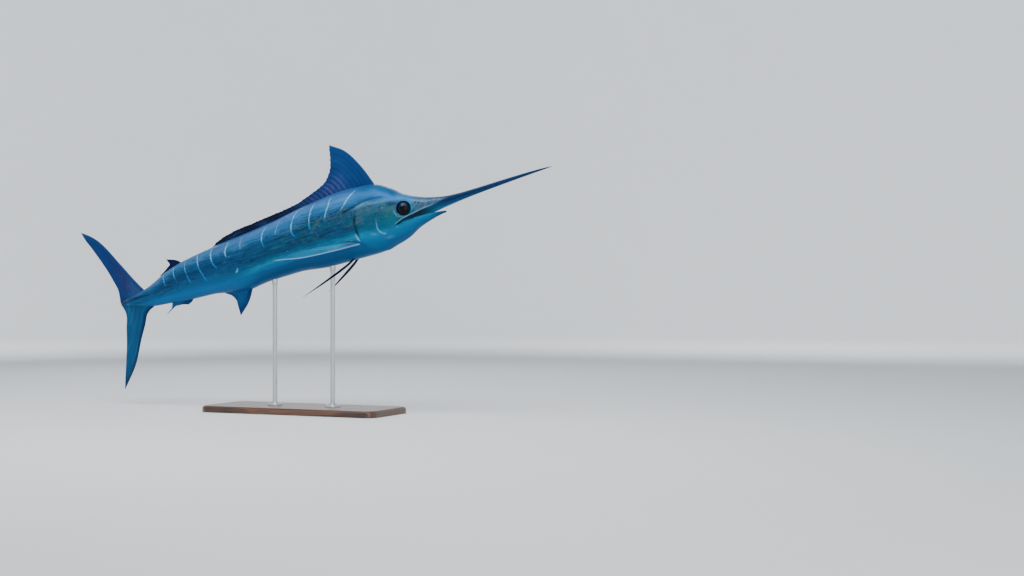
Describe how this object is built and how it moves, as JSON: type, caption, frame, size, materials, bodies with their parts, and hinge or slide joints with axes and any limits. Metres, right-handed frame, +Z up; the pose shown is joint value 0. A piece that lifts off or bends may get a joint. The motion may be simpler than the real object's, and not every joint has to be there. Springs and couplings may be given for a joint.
{
  "type": "blue marlin display model",
  "caption": "Life-size still blue marlin in a swimming pose, with raised fin rays, long bill and pale bars, held over a flat base by slim rods",
  "frame": {"origin": "the centre of the stand base's underside, on the floor", "axes": "+X forward, towards the bill; +Y to the fish's left; +Z up"},
  "size_m": [3.2708, 0.5646, 1.6023],
  "materials": {
    "skin": "wet-looking fish skin, steel blue back with pale blue bars, paler blue belly",
    "bill": "smooth dark blue-grey bill",
    "fin": "dark navy fin membrane with slightly violet rays",
    "eye": "near-black glossy eye",
    "stand_base": "plain oiled dark wood",
    "stand_rod": "brushed steel"
  },
  "bodies": {
    "root": {"head": "skin", "bill": "bill", "lower_jaw": "skin", "eye_left": "eye", "eye_right": "eye", "torso_front": "skin", "torso_rear": "skin", "tail_stalk": "skin", "dorsal_fin_front": "fin", "dorsal_fin_rear": "fin", "second_dorsal_fin": "fin", "anal_fin_first": "fin", "anal_fin_second": "fin", "caudal_fin_upper": "fin", "caudal_fin_lower": "fin", "pectoral_fin_left": "fin", "pectoral_fin_right": "fin", "pelvic_fin_left": "fin", "pelvic_fin_right": "fin", "stand_base": "stand_base", "stand_rod_front": "stand_rod", "stand_rod_rear": "stand_rod"}
  },
  "joints": []
}
